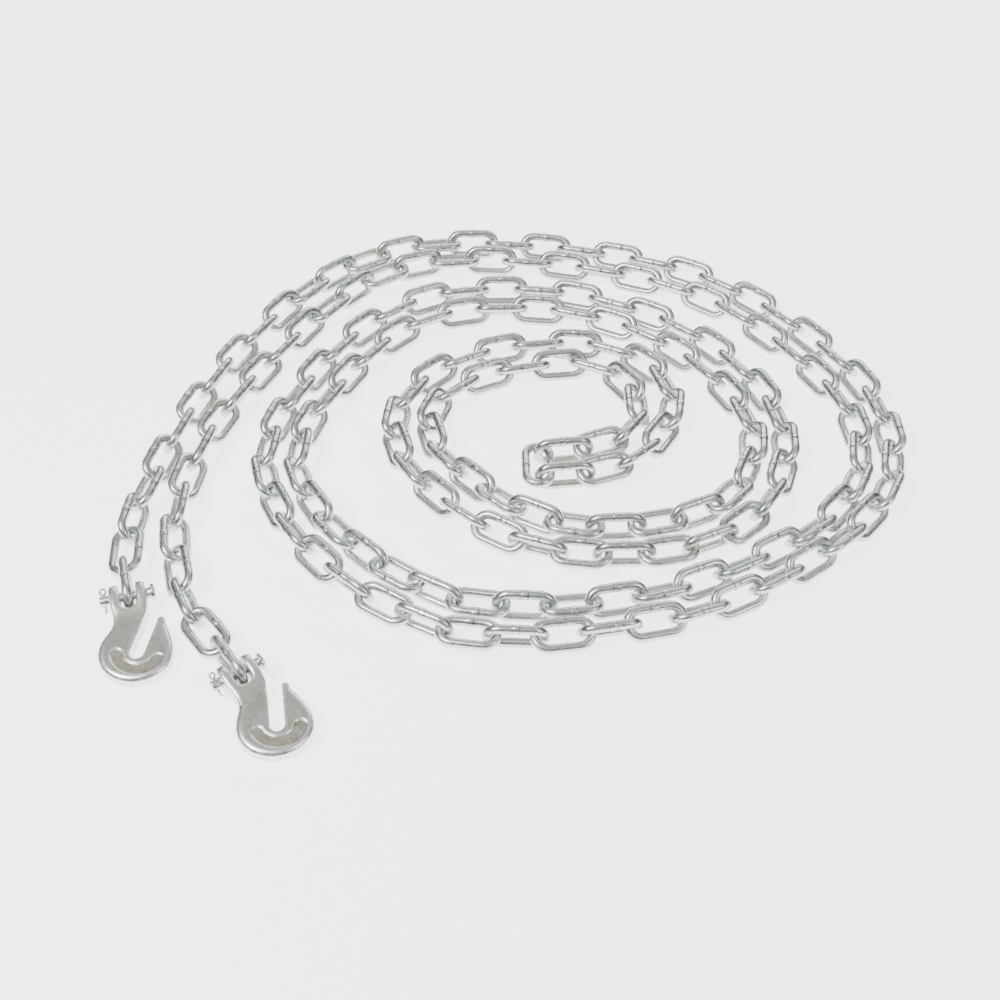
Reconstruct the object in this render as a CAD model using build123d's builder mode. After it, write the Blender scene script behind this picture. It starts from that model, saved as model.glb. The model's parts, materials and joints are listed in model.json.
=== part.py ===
from build123d import *
import math
import os

# Zinc-plated safety chain with a clevis grab hook on each end, laid down doubled in a spiral.
# Millimetres. Floor at Z = 0, +Z up. The two hooks lie at the -X, -Y corner.

# chain link
wire = 6.4                  # diameter of the link wire
link_inside = 32.0          # inside length of a link, the pitch of the chain
link_gap = 11.6             # inside width of a link
bead_proud = 0.35           # flash of the butt weld, standing proud of the wire
bead_length = 4.0

# clevis grab hook
hook_thick = 11.0           # thickness of the bowl and shank
hook_size = 1.0             # in-plane size of the forging
ear_thick = 7.0
clevis_room = 4.1           # clevis gap less the wire diameter
ear_radius = 8.6
ear_reach = 9.6             # top of the ears above the pin
throat_room = 2.8           # throat slot less the wire diameter

# clevis pin and cotter
ear_round = 4.5             # plan rounding of the ears' outer corners
ear_foot = -9.0             # where the ears' straight sides end, below the pin
pin_diameter = 7.5
pin_clearance = 0.05        # radial, running fit in the ears
pin_head = 12.0
pin_head_thick = 2.6
pin_float = 3.0             # end play of the pin between head and ear
cotter_wire = 1.5
cotter_hole = 2.8
cotter_eye = 5.4            # outside of the cotter's eye
cotter_gap = 1.7            # from the ear to the edge of the cotter hole
cotter_tail = 1.8           # from the cotter hole to the end of the pin
cotter_rise = 0.9           # the eye's wire above the pin
cotter_turn = 38.0          # how far the cotter leans away from the bowl, degrees

# lay of the chain
joint_play = 0.6            # free length at each joint of the outer, lead and middle runs
inner_play_a = 1.2
inner_play_b = 2.0
middle_x = 17.0             # the coil's middle in the route's own numbers, put at the origin
middle_y = 48.0
clearance = 0.1             # pin to link at rest
swing_links = 7             # links of each tail that swing one by one

# routes on the floor, chosen by hand for a 32 mm pitch and a 24.4 mm wide link
lead_a = [(-246, -97), (-254, -69), (-257, -34), (-254, 4), (-243, 54), (-229, 104), (-209, 155),
          (-184, 203), (-157, 244), (-125, 275)]
outer_a = [(-125, 275), (-84, 298), (-38, 307), (8, 307), (58, 301), (106, 289),
           (150, 273), (190, 247), (226, 211), (256, 170), (279, 127), (289, 80),
           (286, 34), (266, -8), (228, -46), (180, -80), (128, -106), (72, -120),
           (18, -128), (-36, -122)]
middle_a = [(-36, -122), (-84, -95), (-126, -56), (-156, -10), (-172, 36), (-167, 82),
            (-150, 126), (-126, 172), (-92, 212), (-50, 238), (0, 245), (50, 241),
            (98, 224), (142, 198), (176, 162), (200, 120), (211, 75), (205, 28),
            (182, -14), (145, -43), (100, -54)]
inner_a = [(100, -54), (56, -54), (12, -41), (-26, -14), (-57, 20), (-78, 62), (-75, 104),
           (-50, 141), (-14, 163), (28, 174), (72, 174), (108, 157), (129, 126),
           (129, 88), (110, 54), (78, 29), (32, 21.7)]
lead_b = [(-164, -161), (-182, -136), (-205, -104), (-219, -66), (-227, -20), (-224, 28),
          (-213, 76), (-194, 121), (-168, 172), (-140, 218), (-109, 254)]
outer_b = [(-109, 254), (-74, 276), (-32, 284), (10, 283), (54, 278), (96, 267), (136, 252),
           (172, 230), (205, 197), (234, 157), (256, 116), (266, 76), (262, 34), (243, -4),
           (209, -36), (166, -62), (120, -84), (70, -97), (20, -102), (-30, -96)]
middle_b = [(-30, -96), (-71, -72), (-107, -39), (-135, 0), (-149, 40), (-143, 82),
            (-126, 120), (-104, 160), (-74, 195), (-38, 214), (2, 220), (46, 217),
            (88, 203), (126, 179), (156, 147), (178, 110), (188, 72), (182, 34),
            (162, 0), (134, -18), (95, -28)]
inner_b = [(95, -28), (60, -29), (24, -18), (-8, 7), (-36, 38), (-53, 70), (-49, 102),
           (-27, 127), (4, 142), (38, 149), (70, 150), (98, 129), (105, 98), (96, 70),
           (69, 53), (32, 47)]

cut = 20.0                  # half depth of a cut that goes right through a hook or pin

# what follows from the sizes above
wire_r = wire / 2
crown = (link_gap + wire) / 2            # radius of the wire's centre line at a link's end
half_run = link_inside / 2 + wire_r - crown
lay_scale = max(link_inside / 32.0, (link_gap + 2 * wire) / 24.4)
pin_r = pin_diameter / 2
clevis_gap = wire + clevis_room
throat = wire + throat_room
ear_out = clevis_gap / 2 + ear_thick


def smooth(points):
    """A line through the route points, in short steps."""
    line = []
    for i in range(len(points) - 1):
        p0 = points[max(i - 1, 0)]
        p1 = points[i]
        p2 = points[i + 1]
        p3 = points[min(i + 2, len(points) - 1)]
        for j in range(40):
            t = j / 40
            line.append(tuple(
                0.5 * (2 * b + (c - a) * t + (2 * a - 5 * b + 4 * c - d) * t**2
                       + (3 * b - a - 3 * c + d) * t**3)
                for a, b, c, d in zip(p0, p1, p2, p3)
            ))
    line.append(tuple(points[-1]))
    return [((x - middle_x) * lay_scale, (y - middle_y) * lay_scale) for x, y in line]


def stride(line, chord):
    """Joints one chord apart along the line, and the length that is left over."""
    joints = [line[0]]
    here = line[0]
    for start, end in zip(line, line[1:]):
        while math.dist(end, here) >= chord:
            low = 0.0
            high = 1.0
            for _ in range(40):
                mid = (low + high) / 2
                spot = (start[0] + (end[0] - start[0]) * mid, start[1] + (end[1] - start[1]) * mid)
                if math.dist(spot, here) < chord:
                    low = mid
                else:
                    high = mid
            here = (start[0] + (end[0] - start[0]) * high, start[1] + (end[1] - start[1]) * high)
            joints.append(here)
    return joints, math.dist(joints[-1], line[-1])


def spaced(points, play):
    """Equal chords that end exactly at the last route point, each shorter than a link's pitch."""
    line = smooth(points)
    longest = link_inside - play
    joints, rest = stride(line, longest)
    count = len(joints) - 1 if rest < 1e-6 else len(joints)
    low = longest / 2
    high = longest
    for _ in range(60):
        mid = (low + high) / 2
        joints, rest = stride(line, mid)
        if len(joints) - 1 >= count:
            low = mid
        else:
            high = mid
    joints, rest = stride(line, low)
    return joints[:count] + [line[-1]]


def lean_table(counts):
    """Roll of the even links: upright at the clevis, one of two flat at each cut, 45 degrees between."""
    table = [(0, 90.0)]
    total = 0
    for number, count in enumerate(counts):
        first = total
        total += count
        settled = number in (0, len(counts) - 1)
        flat = (total if settled else total - 1) % 2
        end = 90.0 if flat else 0.0
        if number == 0:
            table += [(2.5, 55.0), (5, 30.0), (total - 4.5, 30.0), (total - 0.5, end)]
        elif settled:
            table += [(first + 5, 45.0), (total - 3.5, 45.0), (total - 1, end)]
        else:
            table += [(first + 5, 45.0), (total - 6, 45.0), (total - 0.5, end)]
    return table


def lean_at(table, index):
    """Roll read from the table, in degrees."""
    for (x0, y0), (x1, y1) in zip(table, table[1:]):
        if index <= x1:
            return y0 + (y1 - y0) * (index - x0) / (x1 - x0)
    return table[-1][1]


def rest_height(lean):
    """Height of a joint when the steeper of two crossed links stands on the floor."""
    turn = math.radians(lean)
    return wire_r + crown * max(abs(math.sin(turn)), abs(math.cos(turn)))


def strand(runs):
    """Every link of one strand as (plane, chord), and the index where each run ends."""
    joints = [runs[0][0]]
    ends = []
    for run in runs:
        joints += run[1:]
        ends.append(len(joints) - 1)
    table = lean_table([len(run) - 1 for run in runs])
    rises = [rest_height(lean_at(table, k)) for k in range(len(joints) - 1)]
    rises = [rises[0]] + rises + [rises[-1]]
    spots = [Vector(x, y, max(rises[k], rises[k + 1])) for k, (x, y) in enumerate(joints)]
    links = []
    for k in range(len(spots) - 1):
        along = (spots[k + 1] - spots[k]).normalized()
        level = Vector(-along.Y, along.X, 0).normalized()
        upright = along.cross(level)
        roll = math.radians(lean_at(table, k) + 90 * (k % 2))
        across = level * math.cos(roll) + upright * math.sin(roll)
        middle = (spots[k + 1] + spots[k]) * 0.5
        chord = (spots[k + 1] - spots[k]).length
        links.append((Plane(origin=middle, x_dir=along, z_dir=along.cross(across)), chord))
    return links, ends


runs_a = [spaced(lead_a, joint_play), spaced(outer_a, joint_play),
          spaced(middle_a, joint_play), spaced(inner_a, inner_play_a)]
runs_b = [spaced(lead_b, joint_play), spaced(outer_b, joint_play),
          spaced(middle_b, joint_play), spaced(inner_b, inner_play_b)]
links_a, ends_a = strand(runs_a)
links_b, ends_b = strand(runs_b)


def last_wire(link):
    """Centre of the wire at the far end of a link."""
    plane, chord = link
    return plane.origin + plane.x_dir * (link_inside / 2 + wire_r)


fold_from = last_wire(links_a[-1])
fold_to = last_wire(links_b[-1])
fold_plane = Plane(origin=(fold_from + fold_to) * 0.5, x_dir=(fold_to - fold_from).normalized(), z_dir=(0, 0, 1))

# one electric-welded link, long axis along X, its weld on the +Y leg
with BuildPart() as link:
    with BuildSketch(Plane.YZ):
        with Locations((crown, 0), (-crown, 0)):
            Circle(wire_r)
    extrude(amount=half_run, both=True)
    for side in (1, -1):
        with BuildSketch(Plane.YZ.offset(side * half_run)):
            with Locations((crown, 0)):
                Circle(wire_r)
        revolve(axis=Axis((side * half_run, 0, 0), (0, 0, 1)), revolution_arc=-180 * side)
    with BuildSketch(Plane.YZ):
        with Locations((crown, 0)):
            Circle(wire_r + bead_proud)
    extrude(amount=bead_length / 2, both=True)

# clevis grab hook: pin axis along X, bowl towards -Y, flat faces up and down
throat_base = (0.6, -48.9)               # centre of the slot's round bottom
throat_slant = 26.5                      # degrees from the shank's line
throat_top = -17.0
tip_inside = -27.5
tip_top = (19.2, -24.4)
bowl_outside = [(21.6, -27.2), (22.8, -34), (23.9, -42), (24.0, -50), (22.0, -58), (17.6, -64.6),
                (10, -69), (0.5, -70.6), (-9.5, -68.6), (-18, -62.6), (-23.4, -54),
                (-24.6, -45.5), (-22.8, -37.6), (-18.6, -31), (-14.2, -25.6), (-11.8, -20.5),
                (-11.4, -15.5)]
rim_round = 4.2                          # rounding of the bowl's outer rim
rim_drop = 0.3                           # how much lower the rounded rim lets the bowl lie
clevis_floor = -13.1                     # bottom of the clevis gap, below the pin
neck = -24.0                             # where the ears' swell has run out into the shank


def sized(point):
    """A point of the forging, at the hook's in-plane size."""
    return (point[0] * hook_size, point[1] * hook_size)


base = sized(throat_base)
slope = math.tan(math.radians(throat_slant))
side_x = throat / 2 * math.cos(math.radians(throat_slant))
side_y = throat / 2 * math.sin(math.radians(throat_slant))
left_low = (base[0] - side_x, base[1] + side_y)
left_high = (left_low[0] + (throat_top * hook_size - left_low[1]) * slope, throat_top * hook_size)
right_low = (base[0] + side_x, base[1] - side_y)
right_high = (right_low[0] + (tip_inside * hook_size - right_low[1]) * slope, tip_inside * hook_size)
bottom = (base[0] - side_y, base[1] - side_x)
around = [sized(point) for point in bowl_outside]
gap_centre = clevis_floor * hook_size + clevis_gap / 2
slot_mouth = (left_high[0] - 4 * slope, left_high[1] - 4)

# the shank's top swells into the two ears
with BuildPart() as swell:
    with BuildSketch(Plane.YZ):
        with BuildLine():
            Spline((0, ear_radius), (neck * hook_size, hook_thick / 2), tangents=[(-1, 0), (-1, 0)])
            Line((neck * hook_size, hook_thick / 2), (neck * hook_size, -hook_thick / 2))
            Spline((neck * hook_size, -hook_thick / 2), (0, -ear_radius), tangents=[(1, 0), (1, 0)])
            ThreePointArc((0, -ear_radius), (ear_reach, 0), (0, ear_radius))
        make_face()
    extrude(amount=ear_out, both=True)
    with BuildSketch(Plane.XY.offset(-cut)) as plan:
        with BuildLine():
            Polyline((-ear_out, ear_reach), (ear_out, ear_reach), (ear_out, ear_foot), left_high, slot_mouth,
                     (around[-2][0], neck * hook_size), around[-1], (-ear_out, ear_foot), close=True)
        make_face()
        fillet(plan.vertices().group_by(Axis.Y)[-1], ear_round)
    extrude(amount=2 * cut, mode=Mode.INTERSECT)

with BuildPart() as forging:
    with BuildSketch():
        with BuildLine():
            Line(around[-1], left_high)
            Line(left_high, left_low)
            ThreePointArc(left_low, bottom, right_low)
            Line(right_low, right_high)
            ThreePointArc(right_high, sized(tip_top), around[0])
            Spline(*around)
        make_face()
    extrude(amount=hook_thick / 2, both=True)
    fillet(forging.edges().filter_by(GeomType.BSPLINE), rim_round)
    add(swell.part)
    with BuildSketch(Plane.XY.offset(-cut)):
        with Locations((0, gap_centre)):
            Circle(clevis_gap / 2)
        with Locations((0, (gap_centre + ear_reach + 2) / 2)):
            Rectangle(clevis_gap, ear_reach + 2 - gap_centre)
    extrude(amount=2 * cut, mode=Mode.SUBTRACT)
    with BuildSketch(Plane.YZ.offset(-2 * cut)):
        Circle(pin_r + pin_clearance)
    extrude(amount=4 * cut, mode=Mode.SUBTRACT)

# clevis pin, head on the +X side, cross hole beyond the ear on the -X side
head_face = ear_out + pin_float
hole_x = -(ear_out + cotter_gap + cotter_hole / 2)
pin_end = hole_x - cotter_hole / 2 - cotter_tail
with BuildPart() as pin:
    with BuildSketch(Plane.YZ.offset(pin_end)):
        Circle(pin_r)
    extrude(amount=head_face - pin_end)
    chamfer(pin.faces().sort_by(Axis.X)[0].edges(), 0.7)
    with BuildSketch(Plane.YZ.offset(head_face)):
        Circle(pin_head / 2)
    extrude(amount=pin_head_thick)
    chamfer(pin.faces().sort_by(Axis.X)[-1].edges(), 0.6)
    with BuildSketch(Plane.XY.offset(-cut)):
        with Locations((hole_x, 0)):
            Circle(cotter_hole / 2)
    extrude(amount=2 * cut, mode=Mode.SUBTRACT)

# cotter pin: an eye on top of the clevis pin, legs through the hole and spread below
leg_r = cotter_hole / 2 - 0.05
eye_r = (cotter_eye - cotter_wire) / 2
eye_height = pin_r + cotter_rise + eye_r
with BuildPart() as cotter:
    with BuildSketch(Plane.XY.offset(-pin_r - 1.0)):
        with Locations((hole_x, 0)):
            Circle(leg_r)
    extrude(amount=2 * pin_r + 2.2)
    with BuildSketch(Plane.XY.offset(eye_height)):
        with Locations((hole_x + eye_r, 0)):
            Circle(cotter_wire / 2)
    revolve(axis=Axis((hole_x, 0, eye_height), (0, 1, 0)), revolution_arc=360)
    for side in (1, -1):
        splay = Plane(origin=(hole_x, 0, -pin_r - 0.7), x_dir=(1, 0, 0), z_dir=(0, side * 0.6, -0.8))
        with BuildSketch(splay):
            Circle(cotter_wire / 2)
        extrude(amount=3.4)


def at_pin(link):
    """Frame of the hook at the clevis end of a strand: pin on the X axis, bowl on the floor."""
    plane, chord = link
    along = Vector(plane.x_dir.X, plane.x_dir.Y, 0).normalized()
    centre = plane.origin + plane.x_dir * (pin_r + clearance - chord / 2)
    drop = (centre.Z + rim_drop - hook_thick / 2) / (-min(y for x, y in around))
    lifted = along * math.sqrt(1 - drop * drop) + Vector(0, 0, 1) * drop
    side = Vector(along.Y, -along.X, 0)
    return Plane(origin=centre, x_dir=side, z_dir=side.cross(lifted))


os.makedirs("parts", exist_ok=True)

for letter, links, ends in (("a", links_a, ends_a), ("b", links_b, ends_b)):
    frame = at_pin(links[0])
    turn = math.radians(cotter_turn)
    tilted = frame.z_dir * math.cos(turn) + frame.y_dir * math.sin(turn)
    turned = Plane(origin=frame.origin, x_dir=frame.x_dir, z_dir=tilted)
    with BuildPart() as hook:
        with Locations(frame):
            add(forging.part)
    hook.part.label = "hook_" + letter
    export_step(hook.part, "parts/hook_" + letter + ".step")
    with BuildPart() as clevis_pin:
        with Locations(turned):
            add(pin.part)
    clevis_pin.part.label = "clevis_pin_" + letter
    export_step(clevis_pin.part, "parts/clevis_pin_" + letter + ".step")
    with BuildPart() as cotter_pin:
        with Locations(turned):
            add(cotter.part)
    cotter_pin.part.label = "cotter_pin_" + letter
    export_step(cotter_pin.part, "parts/cotter_pin_" + letter + ".step")

    for number in range(swing_links):
        with BuildPart() as tail_link:
            with Locations(links[number][0]):
                add(link.part)
        tail_link.part.label = "link_" + letter + str(number + 1)
        export_step(tail_link.part, "parts/link_" + letter + str(number + 1) + ".step")

    starts = [swing_links] + ends[:-1]
    for name, first, end in zip(("lead", "outer", "middle", "inner"), starts, ends):
        with BuildPart() as run:
            with Locations(*[plane for plane, chord in links[first:end]]):
                add(link.part)
        run.part.label = name + "_run_" + letter
        export_step(run.part, "parts/" + name + "_run_" + letter + ".step")

with BuildPart() as fold_link:
    with Locations(fold_plane):
        add(link.part)
fold_link.part.label = "fold_link"
export_step(fold_link.part, "parts/fold_link.step")
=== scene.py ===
import json
import math
import random

import bmesh
import bpy
import numpy as np
from mathutils import Matrix, Vector


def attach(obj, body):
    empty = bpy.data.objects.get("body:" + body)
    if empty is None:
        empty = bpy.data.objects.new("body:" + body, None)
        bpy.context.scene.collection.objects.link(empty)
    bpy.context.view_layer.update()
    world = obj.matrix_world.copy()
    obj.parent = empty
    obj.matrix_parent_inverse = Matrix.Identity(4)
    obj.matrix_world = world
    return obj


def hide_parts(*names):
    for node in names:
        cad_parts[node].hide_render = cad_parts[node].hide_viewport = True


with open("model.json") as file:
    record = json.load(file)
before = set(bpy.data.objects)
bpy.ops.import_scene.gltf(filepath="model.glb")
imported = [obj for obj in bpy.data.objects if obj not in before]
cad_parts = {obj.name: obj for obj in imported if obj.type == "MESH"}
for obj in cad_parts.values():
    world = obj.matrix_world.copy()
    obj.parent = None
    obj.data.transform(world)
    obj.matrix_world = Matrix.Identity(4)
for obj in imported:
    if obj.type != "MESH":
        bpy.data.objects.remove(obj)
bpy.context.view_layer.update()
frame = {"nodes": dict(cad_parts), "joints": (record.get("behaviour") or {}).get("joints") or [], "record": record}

# Sizes, metres
MM = 0.001
WIRE_R = 3.2 * MM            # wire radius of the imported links
LINK_INSIDE = 32.0 * MM      # inside length of a link
LINK_GAP = 11.6 * MM         # inside width of a link
CROWN_R = LINK_GAP / 2 + WIRE_R
HALF_LEG = LINK_INSIDE / 2 + WIRE_R - CROWN_R
LOOK_R = 3.26 * MM           # wire radius drawn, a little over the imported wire's
BEAD_PROUD = 0.35 * MM       # weld flash, proud of the wire
BEAD_HALF = 2.0 * MM
FLASH_SHADE_WIDTH = 0.6 * MM        # painted shade: dark line on each side of the flash, where it meets the wire

PIN_R = 3.75 * MM
BORE_R = 3.87 * MM           # the hook's bore for the pin
PIN_HEAD_R = 6.0 * MM
PIN_HEAD_THICK = 2.6 * MM
PIN_HEAD_FACE = 15.25 * MM   # inner face of the head, from the middle of the pin
PIN_HOLE = -15.45 * MM       # cross hole for the cotter
PIN_END = -18.65 * MM
COTTER_WIRE_R = 0.75 * MM
COTTER_EYE_R = 1.95 * MM
COTTER_TURN = math.radians(38.0)

HOOK_HALF_THICK = 5.5 * MM
RECESS_CENTRE = (2.0 * MM, -47.5 * MM)    # the crescent panel on the bowl's faces
RECESS_RADIUS = 14.3 * MM
RECESS_HALF_WIDTH = 3.9 * MM
RECESS_FROM = math.radians(178)
RECESS_TO = math.radians(318)
RECESS_DEPTH = 0.75 * MM
VOXEL = 0.42 * MM                         # grid of the remeshed forging
EDGE_PASSES = 20                          # smoothing of all edges
EAR_PASSES = 70                           # smoothing of the ears and the swell
EAR_FROM = -27.0 * MM                     # where the ears' smoothing starts and is full
EAR_FULL = -19.0 * MM
BORE_RIM = 4.3 * MM                       # no ear smoothing inside this radius round the pin
BORE_FADE = 1.2 * MM


# ---- materials -------------------------------------------------------------------------------

class Nodes:
    """A small helper that adds shader nodes and links them."""

    def __init__(self, name):
        self.material = bpy.data.materials.new(name)
        self.material.use_nodes = True
        self.tree = self.material.node_tree
        self.shader = self.tree.nodes["Principled BSDF"]
        self.place = self.add("ShaderNodeTexCoord").outputs["Object"]

    def add(self, kind, **values):
        node = self.tree.nodes.new(kind)
        for key, value in values.items():
            if hasattr(node, key):
                setattr(node, key, value)
            else:
                node.inputs[key].default_value = value
        return node

    def join(self, output, target):
        self.tree.links.new(output, target)

    def noise(self, scale, detail=3.0, roughness=0.5):
        node = self.add("ShaderNodeTexNoise", Scale=scale, Detail=detail, Roughness=roughness)
        self.join(self.place, node.inputs["Vector"])
        return node.outputs["Fac"]

    def ramp(self, source, stops):
        node = self.add("ShaderNodeValToRGB")
        elements = node.color_ramp.elements
        while len(elements) < len(stops):
            elements.new(0.5)
        for element, (position, colour) in zip(elements, stops):
            element.position = position
            element.color = (*colour, 1.0)
        self.join(source, node.inputs["Fac"])
        return node.outputs["Color"]

    def mix(self, amount, first, second):
        node = self.add("ShaderNodeMix", data_type="RGBA")
        for source, target in ((amount, 0), (first, 6), (second, 7)):
            if isinstance(source, (int, float)):
                node.inputs[target].default_value = source
            elif isinstance(source, tuple):
                node.inputs[target].default_value = (*source, 1.0)
            else:
                self.join(source, node.inputs[target])
        return node.outputs[2]

    def spread(self, source, low, high, start=0.0, end=1.0):
        node = self.add("ShaderNodeMapRange")
        node.inputs["From Min"].default_value = start
        node.inputs["From Max"].default_value = end
        node.inputs["To Min"].default_value = low
        node.inputs["To Max"].default_value = high
        self.join(source, node.inputs["Value"])
        return node.outputs["Result"]

    def reckon(self, operation, first, second):
        node = self.add("ShaderNodeMath", operation=operation)
        self.join(first, node.inputs[0])
        self.join(second, node.inputs[1])
        return node.outputs[0]

    def sum(self, first, second):
        return self.reckon("ADD", first, second)

    def product(self, first, second):
        return self.reckon("MULTIPLY", first, second)

    def attribute(self, name):
        return self.add("ShaderNodeAttribute", attribute_name=name).outputs["Fac"]

    def bumps(self, *layers):
        """Each layer is a height, its depth in metres and its strength."""
        normal = None
        for height, depth, strength in layers:
            node = self.add("ShaderNodeBump", Strength=strength, Distance=depth)
            self.join(height, node.inputs["Height"])
            if normal:
                self.join(normal, node.inputs["Normal"])
            normal = node.outputs["Normal"]
        self.join(normal, self.shader.inputs["Normal"])


def plated(name, cool, warm, tint_amount, rough_low, rough_high, grain, plate=None, panel=None):
    """Zinc plate: metal whose tint drifts, drawn brighter where rubbed and as a painted highlight on the links'
    weld flash, and darker along painted shade lines at the flash's feet.

    plate and panel are a forging's colours on its flat faces and in its sunk panel.
    """
    m = Nodes(name)
    m.shader.inputs["Metallic"].default_value = 1.0
    m.shader.inputs["Coat Weight"].default_value = 0.12
    m.shader.inputs["Coat Roughness"].default_value = 0.25
    cloud = m.spread(m.noise(55.0, 4.0), 0.0, 0.75)
    drift = m.sum(cloud, m.spread(m.attribute("own_tint"), 0.0, tint_amount))
    middle = tuple((a + b) / 2 for a, b in zip(cool, warm))
    colour = m.ramp(drift, [(0.18, cool), (0.52, middle), (0.85, warm)])
    mottle = m.noise(420.0, 5.0, 0.6)
    colour = m.mix(m.spread(mottle, 0.0, 0.35, 0.45, 0.75), colour, tuple(0.72 * c for c in cool))
    if plate:
        patches = m.spread(m.noise(90.0, 4.0, 0.6), 0.35, 1.0, 0.35, 0.65)
        colour = m.mix(m.product(m.attribute("plate"), patches), colour, plate)
        stains = m.spread(m.noise(260.0, 4.0, 0.65), 0.1, 0.9, 0.40, 0.62)
        colour = m.mix(m.product(m.attribute("panel"), stains), colour, panel)
    bright = tuple(min(1.0, 1.3 * c) for c in cool)
    # brighter where rubbed, and a painted highlight on the links' weld flash
    colour = m.mix(m.spread(m.attribute("wear_and_highlight"), 0.0, 0.7), colour, bright)
    # painted shade: dark line at each foot of the links' weld flash
    colour = m.mix(m.spread(m.attribute("flash_shade"), 0.0, 0.75), colour, tuple(0.35 * c for c in warm))
    m.join(colour, m.shader.inputs["Base Color"])
    rough = m.spread(m.noise(300.0, 5.0, 0.6), rough_low, rough_high, 0.3, 0.7)
    m.join(rough, m.shader.inputs["Roughness"])
    m.bumps((m.noise(150.0, 3.0), 0.00035, 0.35), (m.noise(900.0, 4.0, 0.6), 0.00006, grain))
    return m.material


ZINC_CHAIN = plated("zinc_chain", (0.52, 0.57, 0.58), (0.63, 0.61, 0.54), 0.30, 0.20, 0.36, 0.35)
ZINC_HOOK = plated("zinc_hook", (0.66, 0.68, 0.67), (0.70, 0.67, 0.58), 0.0, 0.22, 0.40, 0.5,
                   (0.50, 0.49, 0.40), (0.44, 0.35, 0.23))
ZINC_PIN = plated("zinc_pin", (0.64, 0.66, 0.67), (0.70, 0.68, 0.62), 0.0, 0.18, 0.30, 0.25)
COTTER_STEEL = plated("cotter_steel", (0.62, 0.63, 0.63), (0.68, 0.66, 0.61), 0.0, 0.20, 0.34, 0.25)


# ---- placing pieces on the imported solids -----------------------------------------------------

def islands(node):
    """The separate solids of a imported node, each as its triangles' corner points."""
    mesh = frame["nodes"][node].data
    points = np.empty(len(mesh.vertices) * 3)
    mesh.vertices.foreach_get("co", points)
    points = points.reshape(-1, 3)
    mesh.calc_loop_triangles()
    triangles = np.empty(len(mesh.loop_triangles) * 3, dtype=np.int64)
    mesh.loop_triangles.foreach_get("vertices", triangles)
    _, same = np.unique(np.round(points, 6), axis=0, return_inverse=True)
    same = same.reshape(-1)
    corners = same[triangles.reshape(-1, 3)]
    label = np.arange(same.max() + 1)
    while True:
        lowest = label[corners].min(axis=1)
        before = label.copy()
        for column in range(3):
            np.minimum.at(label, corners[:, column], lowest)
        label = label[label]
        if (label == before).all():
            break
    owner = label[corners[:, 0]]
    solids = points[triangles.reshape(-1, 3)]
    return [solids[owner == name] for name in np.unique(owner)]


def link_place(solid):
    """Where a link lies: long axis X, legs at +-Y, weld on +Y, from its area-weighted spread."""
    a, b, c = solid[:, 0], solid[:, 1], solid[:, 2]
    area = np.linalg.norm(np.cross(b - a, c - a), axis=1)
    middle = ((a + b + c) / 3 * area[:, None]).sum(axis=0) / area.sum()
    spread = np.zeros((3, 3))
    for corner in (a, b, c, (a + b + c) / 3):
        away = corner - middle
        spread += (away * area[:, None]).T @ away
    values, vectors = np.linalg.eigh(spread)
    along = vectors[:, 2]
    across = vectors[:, 1]
    points = solid.reshape(-1, 3)
    reach = points @ across
    centre = (points.max(axis=0) + points.min(axis=0)) / 2
    centre = centre + along * ((points @ along).max() + (points @ along).min() - 2 * centre @ along) / 2
    if reach.max() + reach.min() < 2 * middle @ across:
        across = -across
    low_side = (points @ across).min()
    centre = centre + across * (low_side + CROWN_R + WIRE_R - centre @ across)
    flat = np.cross(along, across)
    level = ((points @ flat).max() + (points @ flat).min()) / 2
    centre = centre + flat * (level - centre @ flat)
    rows = np.eye(4)
    rows[:3, 0] = along
    rows[:3, 1] = across
    rows[:3, 2] = flat
    rows[:3, 3] = centre
    return rows


# ---- links -----------------------------------------------------------------------------------

AROUND = 20                  # corners round the wire
LEG_STOPS = (-1.0, -0.72, -0.45, -0.30, -0.22, -0.17, -0.10, 0.0, 0.10, 0.17, 0.22, 0.30, 0.45, 0.72)
ARC_STEPS = 16


def ring_line():
    """Points of the wire's centre line: (x, y, tangent angle, distance from the weld or None)."""
    line = []
    for stop in LEG_STOPS:
        line.append((stop * HALF_LEG, CROWN_R, 0.0, stop * HALF_LEG))
    for step in range(ARC_STEPS):
        turn = math.pi * step / ARC_STEPS
        line.append((HALF_LEG + CROWN_R * math.sin(turn), CROWN_R * math.cos(turn), -turn, None))
    for stop in (1.0, 0.7, 0.4, 0.1, -0.2, -0.5, -0.8):
        line.append((stop * HALF_LEG, -CROWN_R, -math.pi, None))
    for step in range(ARC_STEPS):
        turn = math.pi * step / ARC_STEPS
        x = -HALF_LEG - CROWN_R * math.sin(turn)
        line.append((x, -CROWN_R * math.cos(turn), -math.pi - turn, None))
    return line


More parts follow.
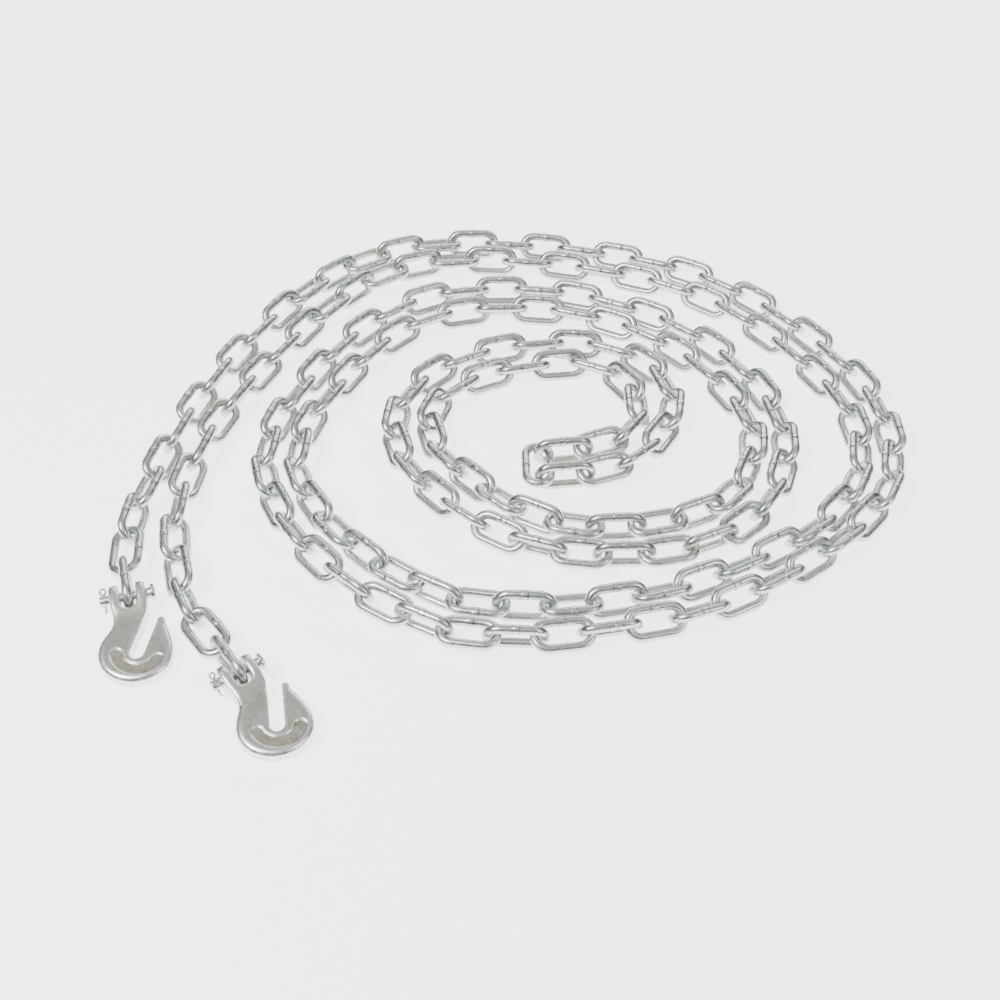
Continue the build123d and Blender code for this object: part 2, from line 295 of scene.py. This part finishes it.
def link_points(own):
    """One link's points, its rubbed places with a painted highlight on the weld flash, and painted shade lines at
    the flash's feet, in its own frame. own is its random stream.
    """
    points = []
    wear_and_highlight = []
    flash_shade = []
    lump = [own.uniform(-0.5, 0.5) for _ in range(AROUND)]
    line = ring_line()
    for x, y, turn, weld in line:
        outward = Vector((math.sin(-turn), math.cos(-turn), 0))
        for corner in range(AROUND):
            angle = 2 * math.pi * corner / AROUND
            radius = LOOK_R
            if weld is not None:
                edge = (BEAD_HALF - abs(weld)) / (0.5 * MM)
                rise = 1 / (1 + math.exp(-2.5 * edge))
                ripple = math.sin(angle * 3 + 6.0 * lump[0])
                radius += BEAD_PROUD * rise * (0.72 + 0.28 * lump[corner] + 0.28 * ripple)
            side = outward * (radius * math.cos(angle)) + Vector((0, 0, radius * math.sin(angle)))
            points.append((x + side.x, y + side.y, side.z))
            inner = max(0.0, -math.cos(angle))
            end = max(0.0, (abs(x) - HALF_LEG) / CROWN_R)
            # a painted highlight on the weld flash, added to the wear of the rubbed crowns
            painted_highlight = 0.0
            # a painted shade line in the band at each foot of the flash
            crease_shade = 0.0
            if weld is not None and abs(weld) < BEAD_HALF:
                painted_highlight = 0.5
            elif weld is not None and abs(weld) < BEAD_HALF + FLASH_SHADE_WIDTH:
                crease_shade = 1.0
            wear_and_highlight.append(min(1.0, inner * end * 1.2 + painted_highlight))
            flash_shade.append(crease_shade)
    return points, wear_and_highlight, flash_shade


def link_faces(count, start):
    faces = []
    for ring in range(count):
        after = (ring + 1) % count
        for corner in range(AROUND):
            beside = (corner + 1) % AROUND
            faces.append((start + ring * AROUND + corner, start + ring * AROUND + beside,
                          start + after * AROUND + beside, start + after * AROUND + corner))
    return faces


def attribute(mesh, name, values):
    layer = mesh.attributes.new(name, "FLOAT", "POINT")
    layer.data.foreach_set("value", values)


def finish_piece(name, mesh, material, body, slot, *nodes):
    mesh.materials.append(material)
    mesh.shade_smooth()
    piece = bpy.data.objects.new(name, mesh)
    bpy.context.scene.collection.objects.link(piece)
    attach(piece, body)
    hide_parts(*nodes)
    return piece


def build_links(node, body):
    own = random.Random(node)
    rings = len(ring_line())
    points = []
    faces = []
    wear_and_highlight = []
    flash_shade = []
    tint = []
    for solid in islands(node):
        place = link_place(solid)
        local, rubbed_and_highlight, crease_shade = link_points(own)
        start = len(points)
        world = np.array(local) @ place[:3, :3].T + place[:3, 3]
        points.extend(map(tuple, world))
        faces.extend(link_faces(rings, start))
        wear_and_highlight.extend(rubbed_and_highlight)
        flash_shade.extend(crease_shade)
        tint.extend([own.random()] * len(local))
    mesh = bpy.data.meshes.new(node + "_mesh")
    mesh.from_pydata(points, [], faces)
    attribute(mesh, "wear_and_highlight", wear_and_highlight)
    attribute(mesh, "flash_shade", flash_shade)
    attribute(mesh, "own_tint", tint)
    built = bmesh.new()
    built.from_mesh(mesh)
    bmesh.ops.recalc_face_normals(built, faces=built.faces)
    built.to_mesh(mesh)
    built.free()
    return finish_piece(node + "_steel", mesh, ZINC_CHAIN, body, "zinc_chain", node)


# ---- hooks -----------------------------------------------------------------------------------

def joint(name):
    return next(item for item in frame["joints"] if item["name"] == name)


def hook_place(letter):
    """The hook's frame: pin axis X, bowl towards -Y, faces up and down."""
    swing = joint("hook_" + letter + "_swing")
    origin = Vector(swing["pos_m"])
    side = Vector(swing["axis"]).normalized()
    corners = np.vstack([solid.reshape(-1, 3) for solid in islands("hook_" + letter)])
    low = corners.mean(axis=0)
    far = Vector(low) - origin
    along = -(far - side * far.dot(side)).normalized()
    face = side.cross(along)
    place = Matrix((side, along, face)).transposed().to_4x4()
    place.translation = origin
    return place


def smoothstep(value):
    value = np.clip(value, 0.0, 1.0)
    return value * value * (3 - 2 * value)


def recess_depth(x, y):
    """How far the crescent panel is sunk at a place on the bowl's face."""
    dx = x - RECESS_CENTRE[0]
    dy = y - RECESS_CENTRE[1]
    turn = np.mod(np.arctan2(dy, dx), 2 * math.pi)
    inside = (turn > RECESS_FROM) & (turn < RECESS_TO)
    band = np.abs(np.hypot(dx, dy) - RECESS_RADIUS)
    away = np.where(inside, band, 1.0)
    for end in (RECESS_FROM, RECESS_TO):
        cap_x = dx - RECESS_RADIUS * math.cos(end)
        cap_y = dy - RECESS_RADIUS * math.sin(end)
        away = np.minimum(away, np.hypot(cap_x, cap_y))
    return RECESS_DEPTH * smoothstep((RECESS_HALF_WIDTH - away) / (0.9 * MM) + 0.5)


def build_hook(letter):
    node = "hook_" + letter
    source = frame["nodes"][node]
    rough = bpy.data.objects.new(node + "_rough", source.data.copy())
    bpy.context.scene.collection.objects.link(rough)
    weld = rough.modifiers.new("weld", "WELD")
    weld.merge_threshold = 0.01 * MM
    remesh = rough.modifiers.new("remesh", "REMESH")
    remesh.mode = "VOXEL"
    remesh.voxel_size = VOXEL
    soften = rough.modifiers.new("soften", "SMOOTH")
    soften.factor = 0.5
    soften.iterations = EDGE_PASSES
    bpy.context.view_layer.update()
    shaped = rough.evaluated_get(bpy.context.evaluated_depsgraph_get())
    mesh = bpy.data.meshes.new_from_object(shaped)
    bpy.data.objects.remove(rough)
    place = hook_place(letter)
    points = np.empty(len(mesh.vertices) * 3)
    mesh.vertices.foreach_get("co", points)
    back = np.array(place.inverted())
    local = points.reshape(-1, 3) @ back[:3, :3].T + back[:3, 3]
    local = soften_ears(mesh, local)
    bore = np.hypot(local[:, 1], local[:, 2])
    tight = bore < BORE_R
    local[tight, 1:] *= (BORE_R / bore[tight])[:, None]
    on_face = smoothstep((np.abs(local[:, 2]) - 0.72 * HOOK_HALF_THICK) / (0.2 * HOOK_HALF_THICK))
    sunk = recess_depth(local[:, 0], local[:, 1]) * on_face
    local[:, 2] -= np.sign(local[:, 2]) * sunk
    there = np.array(place)
    points = local @ there[:3, :3].T + there[:3, 3]
    mesh.vertices.foreach_set("co", points.reshape(-1))
    mesh.materials.clear()
    mesh.update()
    attribute(mesh, "wear_and_highlight", edge_wear(mesh))
    attribute(mesh, "own_tint", np.zeros(len(mesh.vertices)))
    normals = np.empty(len(mesh.vertices) * 3)
    mesh.vertices.foreach_get("normal", normals)
    upward = np.abs(normals.reshape(-1, 3) @ there[:3, 2])
    attribute(mesh, "plate", smoothstep((upward - 0.90) / 0.09))
    attribute(mesh, "panel", sunk / RECESS_DEPTH)
    return finish_piece(node + "_forging", mesh, ZINC_HOOK, node, "zinc_hook", node)


def soften_ears(mesh, local):
    """Rounds the forged ears and the swell below them, and leaves the pin's bore alone."""
    edges = np.empty(len(mesh.edges) * 2, dtype=np.int64)
    mesh.edges.foreach_get("vertices", edges)
    first, second = edges.reshape(-1, 2).T
    ends = np.concatenate((first, second))
    others = np.concatenate((second, first))
    near = np.bincount(ends, minlength=len(local)).astype(float)
    bore = np.hypot(local[:, 1], local[:, 2])
    share = smoothstep((local[:, 1] - EAR_FROM) / (EAR_FULL - EAR_FROM))
    share *= smoothstep((bore - BORE_RIM) / BORE_FADE)
    soft = local.copy()
    for _ in range(EAR_PASSES):
        mean = np.column_stack([np.bincount(ends, soft[others, axis], len(soft)) for axis in range(3)])
        soft += (mean / near[:, None] - soft) * 0.6 * share[:, None]
    return soft


def edge_wear(mesh):
    """1 on outward edges, 0 on flats and in hollows, from how a point stands off its neighbours."""
    count = len(mesh.vertices)
    points = np.empty(count * 3)
    mesh.vertices.foreach_get("co", points)
    points = points.reshape(-1, 3)
    normals = np.empty(count * 3)
    mesh.vertices.foreach_get("normal", normals)
    normals = normals.reshape(-1, 3)
    edges = np.empty(len(mesh.edges) * 2, dtype=np.int64)
    mesh.edges.foreach_get("vertices", edges)
    edges = edges.reshape(-1, 2)
    total = np.zeros((count, 3))
    near = np.zeros(count)
    for first, second in ((0, 1), (1, 0)):
        np.add.at(total, edges[:, first], points[edges[:, second]])
        np.add.at(near, edges[:, first], 1)
    stand = ((points - total / near[:, None]) * normals).sum(axis=1)
    for _ in range(4):
        spread = np.zeros(count)
        for first, second in ((0, 1), (1, 0)):
            np.add.at(spread, edges[:, first], stand[edges[:, second]])
        stand = 0.5 * stand + 0.5 * spread / near
    return np.clip(stand / (0.012 * MM), 0.0, 1.0)


# ---- clevis pins and cotters -----------------------------------------------------------------

def lathe(profile, sides):
    """Points and faces of a turned piece about X, from (x, radius) pairs; ends are closed."""
    points = []
    faces = []
    for x, radius in profile:
        for side in range(sides):
            turn = 2 * math.pi * side / sides
            points.append((x, radius * math.cos(turn), radius * math.sin(turn)))
    for ring in range(len(profile) - 1):
        for side in range(sides):
            beside = (side + 1) % sides
            faces.append((ring * sides + side, ring * sides + beside,
                          (ring + 1) * sides + beside, (ring + 1) * sides + side))
    faces.append(tuple(range(sides)))
    faces.append(tuple((len(profile) - 1) * sides + side for side in reversed(range(sides))))
    return points, faces


def rounded(x, radius, roll, start, end):
    """A quarter-round edge of size roll at (x, radius), swept between two angles."""
    steps = 6
    corner = []
    for step in range(steps + 1):
        turn = start + (end - start) * step / steps
        corner.append((x + roll * math.cos(turn), radius + roll * math.sin(turn)))
    return corner


def build_pin(letter):
    place = hook_place(letter)
    profile = [(PIN_END, 0.4 * PIN_R)]
    profile += rounded(PIN_END + 0.8 * MM, PIN_R - 0.8 * MM, 0.8 * MM, math.pi, math.pi / 2)
    profile += [(PIN_HOLE, PIN_R), (0.0, PIN_R), (PIN_HEAD_FACE - 0.5 * MM, PIN_R),
                (PIN_HEAD_FACE - 0.15 * MM, PIN_R + 0.15 * MM), (PIN_HEAD_FACE, PIN_R + 0.5 * MM)]
    profile += rounded(PIN_HEAD_FACE + 0.5 * MM, PIN_HEAD_R - 0.5 * MM, 0.5 * MM, math.pi, math.pi / 2)
    outer = PIN_HEAD_FACE + PIN_HEAD_THICK
    profile += rounded(outer - 0.9 * MM, PIN_HEAD_R - 0.9 * MM, 0.9 * MM, math.pi / 2, 0.0)
    profile += [(outer - 0.02 * MM, 0.5 * PIN_HEAD_R), (outer - 0.01 * MM, 0.1 * PIN_HEAD_R)]
    points, faces = lathe(profile, 48)
    mesh = bpy.data.meshes.new("clevis_pin_mesh_" + letter)
    mesh.from_pydata(points, [], faces)
    mesh.transform(place)
    attribute(mesh, "wear_and_highlight", [0.8 if abs(x) < 9 * MM else 0.1 for x, _, _ in points])
    attribute(mesh, "own_tint", [0.0] * len(points))
    built = bmesh.new()
    built.from_mesh(mesh)
    bmesh.ops.recalc_face_normals(built, faces=built.faces)
    built.to_mesh(mesh)
    built.free()
    return finish_piece("clevis_pin_" + letter + "_turned", mesh, ZINC_PIN, "pin_" + letter,
                        "zinc_pin", "clevis_pin_" + letter)


def build_cotter(letter):
    """Split pin: both legs down the cross hole, the eye above, the ends bent apart below."""
    turned = hook_place(letter) @ Matrix.Rotation(-COTTER_TURN, 4, "X")
    leg = COTTER_WIRE_R
    eye_height = PIN_R + 0.9 * MM + COTTER_EYE_R
    route = [(0, 4.6 * MM, -PIN_R - 4.4 * MM), (0, 2.8 * MM, -PIN_R - 2.9 * MM),
             (0, leg + 0.5 * MM, -PIN_R - 1.2 * MM), (0, leg, -PIN_R), (0, leg, 0),
             (0, leg, PIN_R - 0.4 * MM)]
    for step in range(9):
        turn = math.radians(-62 + 304 * step / 8)
        shift = leg * (1 - 2 * step / 8)
        route.append((COTTER_EYE_R * math.cos(turn), shift, eye_height + COTTER_EYE_R * math.sin(turn)))
    route += [(0, -leg, PIN_R - 0.4 * MM), (0, -leg, 0), (0, -leg, -PIN_R),
              (0, -leg - 0.4 * MM, -PIN_R - 1.2 * MM),
              (0, -2.4 * MM, -PIN_R - 2.6 * MM), (0, -3.6 * MM, -PIN_R - 3.6 * MM)]
    curve = bpy.data.curves.new("cotter_route_" + letter, "CURVE")
    curve.dimensions = "3D"
    curve.bevel_depth = COTTER_WIRE_R
    curve.bevel_resolution = 4
    curve.use_fill_caps = True
    spline = curve.splines.new("NURBS")
    spline.points.add(len(route) - 1)
    for point, (x, y, z) in zip(spline.points, route):
        point.co = (x + PIN_HOLE, y, z, 1.0)
    spline.order_u = 3
    spline.use_endpoint_u = True
    spline.resolution_u = 8
    wire = bpy.data.objects.new("cotter_wire_" + letter, curve)
    bpy.context.scene.collection.objects.link(wire)
    bpy.context.view_layer.update()
    mesh = bpy.data.meshes.new_from_object(wire.evaluated_get(bpy.context.evaluated_depsgraph_get()))
    bpy.data.objects.remove(wire)
    mesh.transform(turned)
    attribute(mesh, "wear_and_highlight", [0.2] * len(mesh.vertices))
    attribute(mesh, "own_tint", [0.0] * len(mesh.vertices))
    return finish_piece("cotter_pin_" + letter + "_wire", mesh, COTTER_STEEL, "pin_" + letter,
                        "steel_cotter", "cotter_pin_" + letter)


for body, nodes in frame["record"]["behaviour"]["bodies"].items():
    for node in nodes:
        if "run" in node or "link" in node:
            build_links(node, body)
for letter in "ab":
    build_hook(letter)
    build_pin(letter)
    build_cotter(letter)


# ---- floor, light and camera -----------------------------------------------------------------

def build_floor():
    material = Nodes("pale_floor")
    material.shader.inputs["Base Color"].default_value = (0.96, 0.96, 0.96, 1.0)
    material.shader.inputs["Roughness"].default_value = 0.9
    material.shader.inputs["Emission Color"].default_value = (1.0, 1.0, 1.0, 1.0)
    material.shader.inputs["Emission Strength"].default_value = 2.6
    mesh = bpy.data.meshes.new("floor_mesh")
    half = 6.0
    corners = [(-half, -half, 0), (half, -half, 0), (half, half, 0), (-half, half, 0)]
    mesh.from_pydata(corners, [], [(0, 1, 2, 3)])
    mesh.materials.append(material.material)
    floor = bpy.data.objects.new("floor", mesh)
    floor.location.z = -0.0004
    bpy.context.scene.collection.objects.link(floor)


def area_light(name, place, size, power, target):
    data = bpy.data.lights.new(name, "AREA")
    data.shape = "RECTANGLE"
    data.size = size[0]
    data.size_y = size[1]
    data.energy = power
    light = bpy.data.objects.new(name, data)
    light.location = place
    light.rotation_euler = (Vector(target) - Vector(place)).to_track_quat("-Z", "Y").to_euler()
    bpy.context.scene.collection.objects.link(light)


def build_world():
    world = bpy.data.worlds.new("studio")
    bpy.context.scene.world = world
    world.use_nodes = True
    background = world.node_tree.nodes["Background"]
    tree = world.node_tree
    place = tree.nodes.new("ShaderNodeTexCoord")
    parts = tree.nodes.new("ShaderNodeSeparateXYZ")
    ramp = tree.nodes.new("ShaderNodeValToRGB")
    stops = [(0.0, 0.55), (0.12, 0.18), (0.40, 0.14), (0.66, 0.80), (1.0, 1.1)]
    while len(ramp.color_ramp.elements) < len(stops):
        ramp.color_ramp.elements.new(0.5)
    for element, (position, level) in zip(ramp.color_ramp.elements, stops):
        element.position = position
        element.color = (0.93 * level, 0.97 * level, level, 1.0)
    tree.links.new(place.outputs["Generated"], parts.inputs["Vector"])
    tree.links.new(parts.outputs["Z"], ramp.inputs["Fac"])
    tree.links.new(ramp.outputs["Color"], background.inputs["Color"])
    background.inputs["Strength"].default_value = 0.8


def build_camera():
    """45 degrees above the floor, looking along +Y at the middle of the coil."""
    data = bpy.data.cameras.new("camera")
    data.lens = 54.0
    data.sensor_width = 36.0
    camera = bpy.data.objects.new("camera", data)
    target = Vector((-0.017, -0.048, 0.010))
    camera.location = target + Vector((0.0, -0.7524, 0.7524))
    camera.rotation_euler = (target - camera.location).to_track_quat("-Z", "Y").to_euler()
    bpy.context.scene.collection.objects.link(camera)
    bpy.context.scene.camera = camera


build_floor()
build_world()
build_camera()
area_light("key", (-0.9, -0.6, 1.5), (0.9, 0.9), 34.0, (0, 0, 0))
area_light("fill", (1.3, -0.9, 1.1), (0.8, 0.8), 9.0, (0, 0, 0))
area_light("back", (0.2, 1.5, 1.0), (1.8, 0.5), 14.0, (0, 0, 0))
